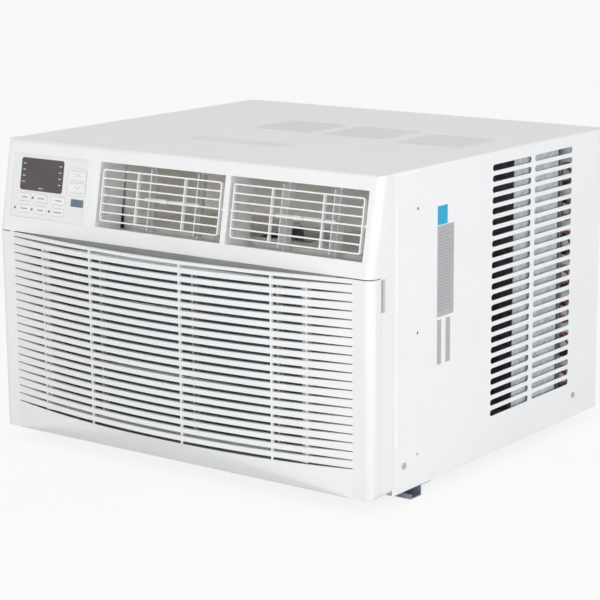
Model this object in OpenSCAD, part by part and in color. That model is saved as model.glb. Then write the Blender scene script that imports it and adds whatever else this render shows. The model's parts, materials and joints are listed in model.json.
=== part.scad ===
// Window air conditioner: sheet-metal cabinet, bowed intake grille, twin outlets,
// and the complete fan, coil and compressor set inside.
// Working frame: x to the right, y to the rear with 0 at the cabinet's front edge,
// z up with 0 at the cabinet's bottom edge. place() moves it to the part's own origin.

/* [Cabinet] */
// Width of the sheet-metal cabinet
cab_w = 660; // [640:1:800]
// Height of the cabinet
cab_h = 428; // [400:1:520]
// Depth of the cabinet
cab_d = 550; // [540:1:700]
// Thickness of the sheet metal
sheet = 1.2; // [0.8:0.1:1.5]
// Fold radius of the cabinet's top edges
fold_r = 3; // [2:0.5:6]
// Rows of side louvre slots
louvre_rows = 24; // [12:1:24]
// Pitch of the louvre slots
louvre_pitch = 15.1; // [12:0.1:16]
// Height of one louvre slot
louvre_open = 9; // [6:0.5:10]
// Height of the lowest louvre slot's centre
louvre_z = 58; // [54:1:80]
// Spacing of the side-curtain screw holes
curtain_pitch = 165.7; // [120:0.1:170]
// Radius of the side-curtain screw holes
curtain_r = 2.1; // [1.5:0.1:3]

/* [Sill rail and feet] */
// Depth that the sill rail hangs below the cabinet
rail_drop = 15.5; // [12:0.5:25]
// Width of the sill rail's channel
rail_w = 25; // [20:0.5:40]
// Distance of the sill rail behind the cabinet's front edge
rail_y = 44; // [30:1:100]
// Thickness of the sill rail
rail_t = 1.5; // [1:0.1:2.5]
// Height of the rail's front lip
rail_lip = 7; // [5:0.5:10]

/* [Front panel] */
// Depth of the front panel at its foot
panel_foot = 48; // [40:1:70]
// Depth of the front panel at its top
panel_top = 24; // [20:1:40]
// Height of the joint between fascia and intake grille
split_z = 298; // [290:1:300]
// Thickness of the moulded walls
wall = 2.5; // [2:0.1:3]
// Gap below the panel's lower edge
panel_lift = 4; // [2:0.5:8]
// Radius of the panel's vertical corners
corner_r = 12; // [6:1:16]
// Depth of the fixed frame behind the intake grille
frame_d = 26; // [20:1:30]

/* [Intake grille] */
// How far the grille bows forward
bow = 35; // [25:1:40]
// Half width of the bowed part
bow_half = 300; // [280:1:300]
// Height where the bow starts to blend into the lower edge
chin_z = 44; // [36:1:50]
// Depth of the grille slats
slat_d = 5; // [3:0.5:6]
// Number of slots
slot_count = 22; // [12:1:22]
// Pitch of the slots
slot_pitch = 11.67; // [10:0.01:12]
// Height of a slot at its middle
slot_open = 4.8; // [3:0.1:7]
// Widest opening angle of the grille
grille_swing = 40; // [20:1:40]

/* [Air filter] */
// Half width of the filter
filter_half = 232; // [180:1:232]
// Height of the filter
filter_h = 238; // [180:1:238]
// Thickness of the filter frame
filter_t = 6; // [4:0.5:6]

/* [Outlets] */
// Width of one outlet opening
outlet_w = 224; // [180:1:224]
// Height of one outlet opening, along the fascia
outlet_h = 91.5; // [80:0.5:94]
// Height of the outlets' lower edge above the joint, along the fascia
outlet_rise = 21.4; // [18:0.1:24]
// Web between the two outlets
outlet_gap = 9; // [8:1:20]
// Distance from the right outlet to the panel's end
outlet_margin = 17; // [16:1:40]
// Depth of the outlet guide behind the fascia
guide_d = 54; // [52:1:60]
// Thickness of a louvre bar
bar_t = 2; // [1.5:0.1:3]
// Number of louvre bars, top and bottom included
bar_count = 7; // [5:1:8]
// Largest tilt of the louvres, up or down
louver_tilt = 20; // [10:1:20]
// Distance between the two vanes of an outlet
vane_gap = 84; // [60:1:90]
// Length of a vane along the airflow
vane_chord = 28; // [20:1:30]
// Resting turn of the left vanes
left_turn = 15; // [-20:1:20]

/* [Keys and display] */
// Width of a function key
key_w = 24; // [18:1:25]
// Height of a function key
key_h = 11; // [8:0.5:12]
// Travel of a key
key_travel = 0.6; // [0.4:0.1:0.8]

/* [Fans] */
// Radius of the blower wheel
wheel_r = 95; // [80:1:98]
// Width of the blower wheel
wheel_w = 118; // [90:1:120]
// Radius of the condenser fan with its slinger ring
fan_r = 161; // [140:1:163]
// Radius of the motor shaft
shaft_r = 6; // [5:0.5:8]
// Radius of the motor
motor_r = 62; // [50:1:64]
// Length of the motor
motor_len = 92; // [70:1:100]

/* [Coils] */
// Half width of the evaporator's fins
evap_half = 226; // [180:1:230]
// Thickness of both coils
coil_t = 40; // [36:1:44]
// Half width of the condenser's fins
cond_half = 288; // [240:1:290]
// Radius of the coil tubes
tube_r = 4; // [3:0.5:5]
// Pitch of the coil tubes in height
tube_pitch = 26; // [21:1:27]

/* [Compressor] */
// Radius of the compressor
comp_r = 62; // [50:1:65]
// Height of the compressor
comp_h = 260; // [200:1:280]

/* [Hidden] */
$fn = 48;

// Clearances: seat is between fixed pieces, run between a pin and its bore, key_gap round a key
seat = 0.3;
run = 0.05;
key_gap = 0.3;
eps = 0.01;
bow_steps = 24;

mid_y = (cab_d - panel_foot - bow) / 2;
lean = atan((panel_foot - panel_top) / (cab_h - split_z));
top_edge_r = 6;
foot_corner_r = 8;
bow_r = (pow(bow_half, 2) + pow(bow, 2)) / (2 * bow);

// Side screws and holes, as [y, z]
curtain_y = 58.6;
curtain_z = 210;
screw_r = 2;
screw_head_r = 4.5;
screw_head_t = 1.5;
case_screw_l = 7;
case_screw_at = [[26, 36], [478, 34]];
rail_screw_x = [-250, 0, 250];
rail_flange = 22;
rail_screw_y = rail_y + rail_w + rail_flange / 2;
bead_y = 9;
bead_w = 7;
bead_z = [62, 387];
bead_out = 1;
gland_at = [95, 70];
gland_r = 9;
gland_bore_r = 4.2;
label_t = 0.2;

louvre_cols = [[243, 348], [357, 464]];
top_vents = [[-107, 265], [24, 265], [162, 250]];
top_vent_size = 110;
top_vent_pitch = 8;
top_vent_open = 3;
rear_flange = 12;
seam_w = 1.4;
seam_d = 0.7;

// Base pan
pan_x = cab_w / 2 - sheet - seat;
pan_y0 = 2;
pan_side_h = 48;
pan_front_h = 30;
pan_rear_h = 12;
pan_foot_r = 18;
pan_foot_at = [cab_w / 2 - 110, cab_d - 80];
drain_r = 6;
drain_at = [200, 400];

// Condenser and evaporator places
cond_y = cab_d - 52;
cond_z = [14, cab_h - 20];
cond_row = [0.3 * coil_t, 0.7 * coil_t];
cond_tubes = 14;
cond_tube_z = 34;
evap_y = 6;
evap_z = [16, split_z - 6];
evap_row = [0.3 * coil_t, 0.7 * coil_t];
evap_tubes = 10;
evap_tube_z = 36;
fin_pitch = 8;
fin_slit = 3;
fin_slit_d = 5;
pan_y1 = cond_y + coil_t + 2 * sheet + 2;

// Air path
axis_z = 175;
bulk_y = 208;
scroll_y0 = 62;
scroll_wall = 3;
scroll_gap = 6;
scroll_growth = 49;
scroll_top = split_z + 4;
tongue_a = 70;
inlet_r = wheel_r - 12;
shaft_hole_r = 20;
wheel_y = 75;
duct_wall = 8;
duct_y0 = 28;
duct_z = [scroll_top, cab_h - 10];
motor_y = bulk_y + sheet;
motor_lug = 10;
motor_lug_r = 2;
hub_run = 0.02;
hub_r = 34;
fan_rim_t = 4;
fan_rim_w = 16;
fan_blade_w = 72;
fan_blade_t = 2.6;
fan_blade_turn = 28;
fan_blade_sink = 4;
fan_hub_w = 32;
wheel_blade_d = 16;
wheel_blade_t = 1.2;
wheel_blade_turn = 25;
wheel_hub_r = 14;
wheel_hub_w = 32;
fan_y = cond_y - 32;
shroud_y = cond_y - 54;
shroud_ring_r = fan_r + 5;
shroud_x = cond_half + 8;
shroud_ring_d = 44;
wing_x = pan_x - sheet - 0.8;
wing_y = [306, shroud_y - 15];
wing_z = [pan_side_h + 2, cab_h - 16];
wing_step = 25;

// Outlets, in the fascia's own frame: x, depth behind its surface, height along it
right_x0 = cab_w / 2 - outlet_margin - outlet_w;
left_x0 = right_x0 - outlet_gap - outlet_w;
outlet_mid = outlet_rise + outlet_h / 2;
guide_wall = 2;
louver_side_gap = 5.5;
louver_end_gap = 9.2;
louver_depth = 6;
louver_bar_d = 4;
louver_front = 0.5;
louver_pin_r = 2;
louver_pin_y = 6;
louver_rib_w = 1.6;
vane_y = 38;
vane_t = 1.6;
vane_end_gap = 3;
vane_pin_r = 1.5;
vane_arm = 12;
link_h = 5;
link_d = 6;
link_slack = 0.35;
notch_h = link_h + 3;
tab_w = 12;
tab_reach = 12;
tab_shift = -8;

// Control panel, in the fascia's own frame
panel_x = [from_left(19), from_left(163)];
panel_z = [21.4, 112.9];
overlay_sink = 1.6;
overlay_t = 2;
overlay_lip = 3;
key_proud = 0.4;
key_flange = 1.2;
key_flange_y = wall + overlay_t + seat;
key_back_y = key_flange_y + 2.2;
board_y = key_back_y + key_travel + 2;
board_t = 1.6;
key_x = [from_left(45), from_left(77), from_left(111.4)];
key_row = [50.8, 34.2];
function_keys = [["key_power", key_x[0], key_row[0]], ["key_mode", key_x[1], key_row[0]],
    ["key_fan", key_x[2], key_row[0]], ["key_timer", key_x[0], key_row[1]],
    ["key_sleep", key_x[1], key_row[1]], ["key_save", key_x[2], key_row[1]]];
arrow_keys = [["key_up", from_left(144), 89.3], ["key_down", from_left(144), 72]];
arrow_w = 32;
arrow_h = 13.5;
led_at = [[from_left(60.6), key_row[0]], [from_left(27), key_row[1]], [from_left(60.6), key_row[1]],
    [from_left(94.4), key_row[1]]];
led_r = 1.5;
display_x = [from_left(33.5), from_left(116)];
display_z = [61, 107.6];
ir_x = [from_left(135), from_left(158.5)];
ir_z = [45.2, 55.8];
post_r = 3;
box_y = 6;
box_z = split_z + 8;
pcb_y = [60, 190];
pcb_z = box_z + sheet + 6;
spacer_r = 3;
transformer = [40, 36, 30.5];
relay = [11, 26, 16.5];
relay_pitch = 14;
capacitor_r = 20;
capacitor_h = 64;
post_at = [for (x = [24, 158], z = [26, 108]) [from_left(x), z]];

// Grille hinge, as y and z of its axis, and the places of its ears and lugs along x
hinge_y = -frame_d - 1;
hinge_z = panel_lift + 3.2;
hinge_r = 1.6;
ear_r = 3;
ear_x = cab_w / 2 - 25;
ear_w = 4;
lug_w = 6.5;
rib_x = [-128, 39, 184.5];
rib_w = 2.2;
strut_w = 8;
strut_t = 2.3;
slot_top = split_z - 8;
slot_half = bow_half;
slot_tip = 0.7;
filter_y = -panel_foot - 1.5 - filter_t;
filter_z = chin_z + 2.1;
filter_bar_z = [79, 172];
post_top = filter_z + filter_h - 2;
grille_top = split_z - 1.5;
notch_y = 9.5;
notch_z = [split_z - 46, split_z - 3];
pocket_d = 10.5;
pocket_wall = 1.5;
skirt_half = bow_half - 28;
skirt_drop = 14;

// Compressor group
comp_at = [-205, 335];
comp_z = 24;
comp_dome = 26;
comp_foot_r = comp_r + 22;
comp_foot_w = 28;
comp_foot_a = [90, 210, 330];
grommet_r = 12;
grommet_neck_r = 5.9;
comp_cap_r = 20;
comp_cap_h = 14;
comp_foot_z = 14;
comp_foot_t = 3;
stud_r = 3;
accum_r = 21;
accum_at = [comp_at[0] + comp_r + accum_r + 6, comp_at[1]];
accum_fold_r = 10;
accum_z = [70, 222];
suction_r = 6;
discharge_r = 4.5;
liquid_r = 4;
capillary_r = 1.5;
braze = 0.4;
drier_r = 10;
drier_z = [62, 150];
capillary_z = drier_z[1] + 20;
discharge_z = comp_z + comp_h + 36;
suction_y = bulk_y + 30;
drier_at = [-285, 250];
return_x = cond_half + 5 + tube_pitch / 2 + tube_r + discharge_r + 3;
evap_end_x = evap_half + 16;

// Place measured from the left-hand end of the panel
function from_left(d) = d - cab_w / 2;

module place() translate([0, -mid_y, rail_drop]) children();
module on_fascia() translate([0, -panel_foot, split_z]) rotate([-lean, 0, 0]) children();

// Extrudes an outline drawn in x and z from y0 to y1
module along_y(y0, y1) translate([0, y1, 0]) rotate([90, 0, 0]) linear_extrude(y1 - y0) children();
// Extrudes an outline drawn in y and z from x0 to x1
module along_x(x0, x1) translate([x0, 0, 0]) rotate([90, 0, 90]) linear_extrude(x1 - x0) children();
module rod_y(r, y0, y1) translate([0, y0, 0]) rotate([-90, 0, 0]) cylinder(r = r, h = y1 - y0);
module rod_x(r, x0, x1) translate([x0, 0, 0]) rotate([0, 90, 0]) cylinder(r = r, h = x1 - x0);
module box(lo, hi) translate(lo) cube(hi - lo);
// Right-hand feature as drawn for s = 1, mirrored to the left for s = -1
module on_side(s) if (s < 0) mirror([1, 0, 0]) children(); else children();

module round_rect(w, h, r) {
    translate([r, 0]) square([w - 2 * r, h]);
    translate([0, r]) square([w, h - 2 * r]);
    for (x = [r, w - r], y = [r, h - r]) translate([x, y]) circle(r);
}

module stadium(w, h) {
    translate([h / 2, 0]) square([w - h, h]);
    for (x = [h / 2, w - h / 2]) translate([x, h / 2]) circle(h / 2);
}

// A tube through a list of points, with a brazed ball at each corner
module pipe(points, r) {
    for (i = [0:len(points) - 2]) {
        a = points[i];
        d = points[i + 1] - a;
        length = norm(d);
        translate(a) rotate([0, acos(d[2] / length), atan2(d[1], d[0])]) cylinder(r = r, h = length);
        if (i > 0) translate(a) sphere(r = r + braze);
    }
}

// ---- Cabinet, base and rail ----

module cabinet_outline(inset, r) {
    w = cab_w - 2 * inset;
    translate([-w / 2, -10]) round_rect(w, cab_h - inset + 10, r);
}

module side_slots() {
    for (col = louvre_cols, i = [0:louvre_rows - 1])
        translate([col[0], louvre_z + i * louvre_pitch - louvre_open / 2])
            stadium(col[1] - col[0], louvre_open);
}

module top_slots() {
    for (p = top_vents, i = [0:floor(top_vent_size / top_vent_pitch) - 1])
        translate([p[0], p[1] + i * top_vent_pitch]) stadium(top_vent_size, top_vent_open);
}

// Shadow groove round the cabinet's front edge, where the panel meets it
module seam() along_y(-1, seam_w) difference() {
    translate([-cab_w, -cab_h]) square([2 * cab_w, 3 * cab_h]);
    cabinet_outline(seam_d, fold_r - seam_d);
}

module cabinet() place() color("whitesmoke") difference() {
    union() {
        along_y(0, cab_d) difference() {
            cabinet_outline(0, fold_r);
            cabinet_outline(sheet, fold_r - sheet);
            translate([-cab_w, -20]) square([2 * cab_w, 20]);
        }
        along_y(cab_d - sheet, cab_d) difference() {
            cabinet_outline(0, fold_r);
            cabinet_outline(rear_flange, fold_r);
            translate([-cab_w, -20]) square([2 * cab_w, 20]);
        }
        for (s = [-1, 1]) on_side(s) along_x(cab_w / 2 - eps, cab_w / 2 + bead_out)
            translate([bead_y + bead_w, bead_z[0]]) rotate(90)
                stadium(bead_z[1] - bead_z[0], bead_w);
    }
    for (s = [-1, 1]) on_side(s) along_x(cab_w / 2 - sheet - 1, cab_w / 2)
        translate([bead_y + bead_w - sheet, bead_z[0] + sheet]) rotate(90)
            stadium(bead_z[1] - bead_z[0] - 2 * sheet, bead_w - 2 * sheet);
    seam();
    along_x(-cab_w, cab_w) side_slots();
    translate([0, 0, cab_h - 2 * sheet]) linear_extrude(4 * sheet) top_slots();
    for (i = [-1:1]) translate([0, curtain_y, curtain_z + i * curtain_pitch])
        rod_x(curtain_r, -cab_w, cab_w);
    for (p = case_screw_at) translate([0, p[0], p[1]]) rod_x(screw_r + 0.1, -cab_w, cab_w);
    translate([0, gland_at[0], gland_at[1]]) rod_x(gland_r, -cab_w, 0);
}

module base_pan() place() color("silver") difference() {
    union() {
        box([-pan_x, pan_y0, 0], [pan_x, pan_y1, sheet]);
        for (s = [-1, 1]) on_side(s)
            box([pan_x - sheet, pan_y0, 0], [pan_x, pan_y1, pan_side_h]);
        box([-pan_x, pan_y0, 0], [pan_x, pan_y0 + sheet, pan_front_h]);
        box([-pan_x, pan_y1 - sheet, 0], [pan_x, pan_y1, pan_rear_h]);
        for (s = [-1, 1]) translate([s * pan_foot_at[0], pan_foot_at[1], -rail_drop])
            cylinder(r = pan_foot_r, h = rail_drop + sheet);
    }
    for (s = [-1, 1]) translate([s * pan_foot_at[0], pan_foot_at[1], sheet - rail_drop])
        cylinder(r = pan_foot_r - sheet, h = rail_drop + 1);
    for (p = case_screw_at) translate([0, p[0], p[1]]) rod_x(screw_r + 0.1, -cab_w, cab_w);
    for (x = rail_screw_x) translate([x, rail_screw_y, -1]) cylinder(r = screw_r + 0.1, h = 4);
    for (p = comp_feet()) translate([p[0], p[1], -1]) cylinder(r = stud_r + 0.1, h = 4);
    translate([drain_at[0], drain_at[1], -1]) cylinder(r = drain_r, h = 4);
}

module bottom_rail() place() color("lightslategray") difference() {
    along_x(-cab_w / 2, cab_w / 2) polygon([[rail_y, rail_lip - rail_drop], [rail_y, -rail_drop],
        [rail_y + rail_w, -rail_drop], [rail_y + rail_w, -rail_t],
        [rail_y + rail_w + rail_flange, -rail_t], [rail_y + rail_w + rail_flange, 0],
        [rail_y + rail_w - rail_t, 0], [rail_y + rail_w - rail_t, rail_t - rail_drop],
        [rail_y + rail_t, rail_t - rail_drop], [rail_y + rail_t, rail_lip - rail_drop]]);
    for (x = rail_screw_x) translate([x, rail_screw_y, -5]) cylinder(r = screw_r + 0.1, h = 6);
}

module screw(length) {
    cylinder(r = screw_r, h = length);
    difference() {
        translate([0, 0, -screw_head_t]) cylinder(r = screw_head_r, h = screw_head_t);
        for (a = [0, 90]) rotate(a) translate([-2.5, -0.4, -screw_head_t - 1]) cube([5, 0.8, 1.8]);
    }
}

module case_screws() place() color("gainsboro") {
    for (s = [-1, 1], p = case_screw_at) on_side(s)
        translate([cab_w / 2, p[0], p[1]]) rotate([0, -90, 0]) screw(case_screw_l);
    for (x = rail_screw_x) translate([x, rail_screw_y, -rail_t]) screw(6);
}

module rear_guard() place() color("whitesmoke")
    along_y(cab_d - 7, cab_d - sheet - seat) difference() {
        w = cab_w - 2 * sheet - 4;
        h = cab_h - sheet - 4;
        cols = 24;
        rows = 7;
        rim = 10;
        bar = 3;
        pitch_x = (w - 2 * rim + bar) / cols;
        pitch_z = (h - 2 * rim + bar) / rows;
        translate([-w / 2, 2]) square([w, h]);
        for (i = [0:cols - 1], k = [0:rows - 1])
            translate([rim - w / 2 + i * pitch_x, 2 + rim + k * pitch_z])
                square([pitch_x - bar, pitch_z - bar]);
    }

// ---- Front panel ----

module fascia_profile(inset) {
    cy = -panel_top + top_edge_r * (1 - sin(lean)) / cos(lean);
    cz = cab_h - top_edge_r;
    r = top_edge_r - inset;
    foot_y = -panel_foot + inset / cos(lean);
    translate([cy, cz]) circle(r);
    polygon([[5, split_z + inset], [foot_y + inset * tan(lean), split_z + inset],
        [cy - r * cos(lean), cz + r * sin(lean)], [cy, cz + r], [5, cz + r]]);
}

// Plan outline of the panel, with round front corners: x and y, from y = front to y = back
module panel_plan(half, front, back, r) {
    translate([-half, front + r]) square([2 * half, back - front - r]);
    translate([r - half, front]) square([2 * (half - r), back - front]);
    for (s = [-1, 1]) translate([s * (half - r), front + r]) circle(r);
}

module fascia_block(inset) intersection() {
    on_fascia() translate([0, 0, -60]) linear_extrude(260)
        panel_plan(cab_w / 2 - inset, inset, 90, corner_r - inset);
    along_x(-cab_w, cab_w) fascia_profile(inset);
    box([-cab_w, -2 * panel_foot, 0], [cab_w, inset > 0 ? 1 : 0, cab_h]);
}

module foot_outline(inset) {
    half = cab_w / 2 - inset;
    low = panel_lift + inset;
    r = foot_corner_r - inset;
    translate([-half, low]) round_rect(2 * half, 60, r);
    translate([-half, low + 30]) square([2 * half, split_z - low - 30 + inset]);
}

module finger_notch() along_x(cab_w / 2 - pocket_d, cab_w)
    translate([-frame_d - 1, notch_z[0]]) square([notch_y + 1, notch_z[1] - notch_z[0]]);

// Walls that close the finger notch on the inside
module finger_pocket() difference() {
    box([cab_w / 2 - pocket_d - pocket_wall, -frame_d, notch_z[0] - pocket_wall],
        [cab_w / 2 - wall + eps, notch_y - frame_d + pocket_wall, notch_z[1] + pocket_wall]);
    finger_notch();
}

module front_panel() place() color("white") {
    difference() {
        fascia_block(0);
        fascia_block(wall);
        on_fascia() {
            for (x0 = [left_x0, right_x0])
                box([x0, -5, outlet_rise], [x0 + outlet_w, wall + 5, outlet_rise + outlet_h]);
            box([panel_x[0], -5, panel_z[0]], [panel_x[1], wall + 5, panel_z[1]]);
        }
    }
    // Fixed frame behind the intake grille
    difference() {
        along_y(-frame_d, 0) difference() {
            foot_outline(0);
            foot_outline(wall);
        }
        for (s = [-1, 1]) on_side(s) finger_notch();
        for (s = [-1, 1]) on_side(s) box([ear_x - 0.6, -frame_d - 1, 0],
            [ear_x + ear_w + 0.6, hinge_y + ear_r + 1, panel_lift + wall + eps]);
        for (s = [-1, 1]) on_side(s) translate([0, hinge_y, hinge_z])
            rod_x(hinge_r + run, ear_x - lug_w - 2, ear_x + ear_w + 1);
    }
    for (s = [-1, 1]) on_side(s) finger_pocket();
    // Skirt that closes the filter slot
    box([-skirt_half, -panel_foot + wall - 0.4, split_z - skirt_drop],
        [skirt_half, -panel_foot + 2 * wall - 0.4, split_z + eps]);
    // Hinge lugs
    for (s = [-1, 1]) on_side(s) difference() {
        union() {
            translate([0, hinge_y, hinge_z]) rod_x(ear_r, ear_x - 0.5 - lug_w, ear_x - 0.5);
            box([ear_x - 0.5 - lug_w, hinge_y, hinge_z - ear_r],
                [ear_x - 0.5, -frame_d + 8, hinge_z + ear_r]);
        }
        translate([0, hinge_y, hinge_z]) rod_x(hinge_r + run, 0, cab_w);
    }
}

module slot_seal() place() color("darkgray")
    box([-skirt_half, -panel_foot + wall - 1.8, split_z - skirt_drop + 0.5],
        [skirt_half, -panel_foot + wall - 0.4, split_z - seat]);

// ---- Intake grille ----

// Plan of the bow alone: inset is the thickness taken off it, and it stops at y = stop
function bow_points(inset, stop) = let (
    r = bow_r - inset,
    centre = bow_r - panel_foot - bow,
    half = sqrt(pow(r, 2) - pow(centre - stop, 2)))
    [for (i = [0:bow_steps]) let (x = half * (2 * i / bow_steps - 1)) [x, centre - sqrt(pow(r, 2) - x * x)]];

module bow_plan(inset, stop) polygon(concat(bow_points(inset, stop),
    [[bow_half - 2 * inset, stop + 0.5], [2 * inset - bow_half, stop + 0.5]]));

// The bow, and the chin that blends it into the lower edge at z = low
module bow_block(inset, chin_inset, stop, low, top) {
    translate([0, 0, chin_z]) linear_extrude(top - chin_z) bow_plan(inset, stop);
    hull() {
        translate([0, 0, chin_z]) linear_extrude(1) bow_plan(chin_inset, stop);
        box([2 * chin_inset - bow_half, stop, low], [bow_half - 2 * chin_inset, stop + 0.5, low + 1]);
    }
}

module slot_lens() {
    for (i = [0:slot_count - 1]) translate([0, slot_top - i * slot_pitch]) difference() {
        polygon([[-slot_half, slot_tip], [-0.75 * slot_half, 0.41 * slot_open],
            [-0.4 * slot_half, slot_open / 2],
            [0.4 * slot_half, slot_open / 2], [0.75 * slot_half, 0.41 * slot_open], [slot_half, slot_tip],
            [slot_half, -slot_tip], [0.75 * slot_half, -0.41 * slot_open], [0.4 * slot_half, -slot_open / 2],
            [-0.4 * slot_half, -slot_open / 2], [-0.75 * slot_half, -0.41 * slot_open],
            [-slot_half, -slot_tip]]);
        for (x = rib_x) translate([x - rib_w / 2, -slot_open]) square([rib_w, 2 * slot_open]);
    }
}

module intake_grille() place() color("white") {
    back = -frame_d - seat;
    chin_back = hinge_y - 9;
    difference() {
        union() {
            intersection() {
                translate([0, 0, panel_lift]) linear_extrude(grille_top - panel_lift)
                    panel_plan(cab_w / 2, -panel_foot, back, corner_r);
                along_y(-2 * panel_foot, 0) foot_outline(0);
            }
            bow_block(0, 0, -panel_foot, panel_lift, grille_top);
        }
        translate([0, 0, panel_lift + wall]) linear_extrude(cab_h)
            panel_plan(cab_w / 2 - wall, -panel_foot + wall, 0, corner_r - wall);
        bow_block(slat_d, wall, -panel_foot + wall, panel_lift + wall, cab_h);
        along_y(-2 * panel_foot, -panel_foot + wall + 2) slot_lens();
        // Room for the hinge to turn
        box([-cab_w / 2 + wall + 4, chin_back, 0], [cab_w / 2 - wall - 4, 0, panel_lift + wall + eps]);
        along_x(-cab_w, cab_w) polygon([[back - 2.9, panel_lift - 1], [back - 2.9, panel_lift],
            [back, hinge_z], [0, hinge_z], [0, panel_lift - 1]]);
    }
    // Filter guides: side posts, bottom ledge and a rear grid
    grid_y = [filter_y + filter_t + 0.6, filter_y + filter_t + 0.6 + strut_t];
    post_x = filter_half + 1;
    for (s = [-1, 1]) on_side(s) {
        box([post_x, filter_y - 3, chin_z], [post_x + 2.5, grid_y[1], post_top]);
        box([post_x - 6, grid_y[0], chin_z], [post_x + eps, grid_y[1], post_top]);
    }
    for (x = rib_x) box([x - strut_w / 2, grid_y[0], chin_z], [x + strut_w / 2, grid_y[1], post_top]);
    box([-post_x - eps, grid_y[0], post_top - 6], [post_x + eps, grid_y[1], post_top]);
    box([-post_x - eps, filter_y - 3, chin_z], [post_x + eps, grid_y[1], chin_z + 1.8]);
    // Hinge ears
    for (s = [-1, 1]) on_side(s) difference() {
        union() {
            translate([0, hinge_y, hinge_z]) rod_x(ear_r, ear_x, ear_x + ear_w);
            box([ear_x, chin_back - 2, hinge_z - ear_r], [ear_x + ear_w, hinge_y, hinge_z + ear_r]);
        }
        translate([0, hinge_y, hinge_z]) rod_x(hinge_r, 0, cab_w);
    }
}

module grille_hinge_pins() place() color("silver")
    for (s = [-1, 1]) on_side(s) translate([0, hinge_y, hinge_z])
        rod_x(hinge_r, ear_x - 0.5 - lug_w, ear_x + ear_w);

module filter_frame() place() color("lightgray") {
    rim = 7;
    along_y(filter_y, filter_y + filter_t) difference() {
        translate([-filter_half, filter_z]) square([2 * filter_half, filter_h]);
        translate([rim - filter_half, filter_z + rim])
            square([2 * (filter_half - rim), filter_h - 2 * rim]);
    }
    difference() {
        union() {
            for (z = filter_bar_z) box([-filter_half + rim - eps, filter_y + 1.4, filter_z + z],
                [filter_half - rim + eps, filter_y + filter_t, filter_z + z + 5]);
            for (x = rib_x) box([x - 2, filter_y + 1.4, filter_z + rim - eps],
                [x + 2, filter_y + filter_t, filter_z + filter_h - rim + eps]);
        }
        mesh_panel(0.05);
    }
}

// The net lies in the middle of the frame; grow is its clearance
module mesh_panel(grow) {
    rim = 7;
    box([rim - filter_half, filter_y + filter_t / 2 - 0.4 - grow, filter_z + rim],
        [filter_half - rim, filter_y + filter_t / 2 + 0.4 + grow, filter_z + filter_h - rim]);
}

module filter_mesh() place() color("slategray") intersection() {
    mesh_panel(0);
    inset = 7.1;
    box([inset - filter_half, -200, filter_z + inset],
        [filter_half - inset, 0, filter_z + filter_h - inset]);
}

// ---- Control panel ----

module key_plan(x, z, w, h, grow, r) translate([x - w / 2 - grow, z - h / 2 - grow])
    round_rect(w + 2 * grow, h + 2 * grow, r + grow);

// Extrudes an outline drawn in x and height along the fascia, from depth d0 to d1
module on_panel(d0, d1) on_fascia() along_y(d0, d1) children();

module all_key_plans(grow) {
    for (k = function_keys) key_plan(k[1], k[2], key_w, key_h, grow, 2);
    for (k = arrow_keys) key_plan(k[1], k[2], arrow_w, arrow_h, grow, 3);
}

module display_plan(grow) translate([display_x[0] - grow, display_z[0] - grow])
    round_rect(display_x[1] - display_x[0] + 2 * grow, display_z[1] - display_z[0] + 2 * grow, 4 + grow);

module ir_plan(grow) translate([ir_x[0] - grow, ir_z[0] - grow])
    round_rect(ir_x[1] - ir_x[0] + 2 * grow, ir_z[1] - ir_z[0] + 2 * grow, 1 + grow);

module control_overlay() place() color("white") {
    difference() {
        union() {
            on_panel(wall, wall + overlay_t)
                translate([panel_x[0] - overlay_lip, panel_z[0] - overlay_lip])
                    square([panel_x[1] - panel_x[0] + 2 * overlay_lip,
                        panel_z[1] - panel_z[0] + 2 * overlay_lip]);
            on_panel(overlay_sink, wall + eps) translate([panel_x[0] + 0.1, panel_z[0] + 0.1])
                square([panel_x[1] - panel_x[0] - 0.2, panel_z[1] - panel_z[0] - 0.2]);
        }
        on_panel(-1, 10) {
            all_key_plans(key_gap);
            display_plan(0.05);
            ir_plan(0.05);
            for (p = led_at) translate(p) circle(led_r + 0.05);
        }
    }
    on_fascia() for (p = post_at) translate([p[0], 0, p[1]]) rod_y(post_r, wall + overlay_t - eps, board_y);
}

module display_window() place() color("saddlebrown") on_panel(overlay_sink - 0.3, wall + overlay_t)
    display_plan(0);

module ir_window() place() color("steelblue") on_panel(overlay_sink - 0.3, wall + overlay_t) ir_plan(0);

module status_leds() place() color("black")
    for (p = led_at) on_panel(overlay_sink - 0.3, board_y) translate(p) circle(led_r);

module display_board() place() color("darkgreen") {
    on_panel(board_y, board_y + board_t) translate([panel_x[0] - 2, panel_z[0]])
        square([panel_x[1] - panel_x[0] + 4, panel_z[1] - panel_z[0]]);
    for (k = concat(function_keys, arrow_keys))
        on_panel(key_back_y + key_travel + 0.1, board_y + eps) translate([k[1], k[2]]) circle(2);
}

module key_piece(k, w, h, r) place() color("white") {
    on_panel(overlay_sink - key_proud, key_back_y) key_plan(k[1], k[2], w, h, 0, r);
    on_panel(key_flange_y, key_flange_y + key_flange) key_plan(k[1], k[2], w, h, 1.2, r);
}
module function_key(i) key_piece(function_keys[i], key_w, key_h, 2);
module arrow_key(i) key_piece(arrow_keys[i], arrow_w, arrow_h, 3);

module control_box() place() color("silver") {
    x = [panel_x[0] - 7, panel_x[1] - 4];
    difference() {
        box([x[0], box_y, box_z], [x[1], bulk_y - seat, cab_h - 12]);
        box([x[0] + sheet, box_y - 1, box_z + sheet], [x[1] - sheet, bulk_y - seat - sheet, cab_h]);
    }
}

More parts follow.
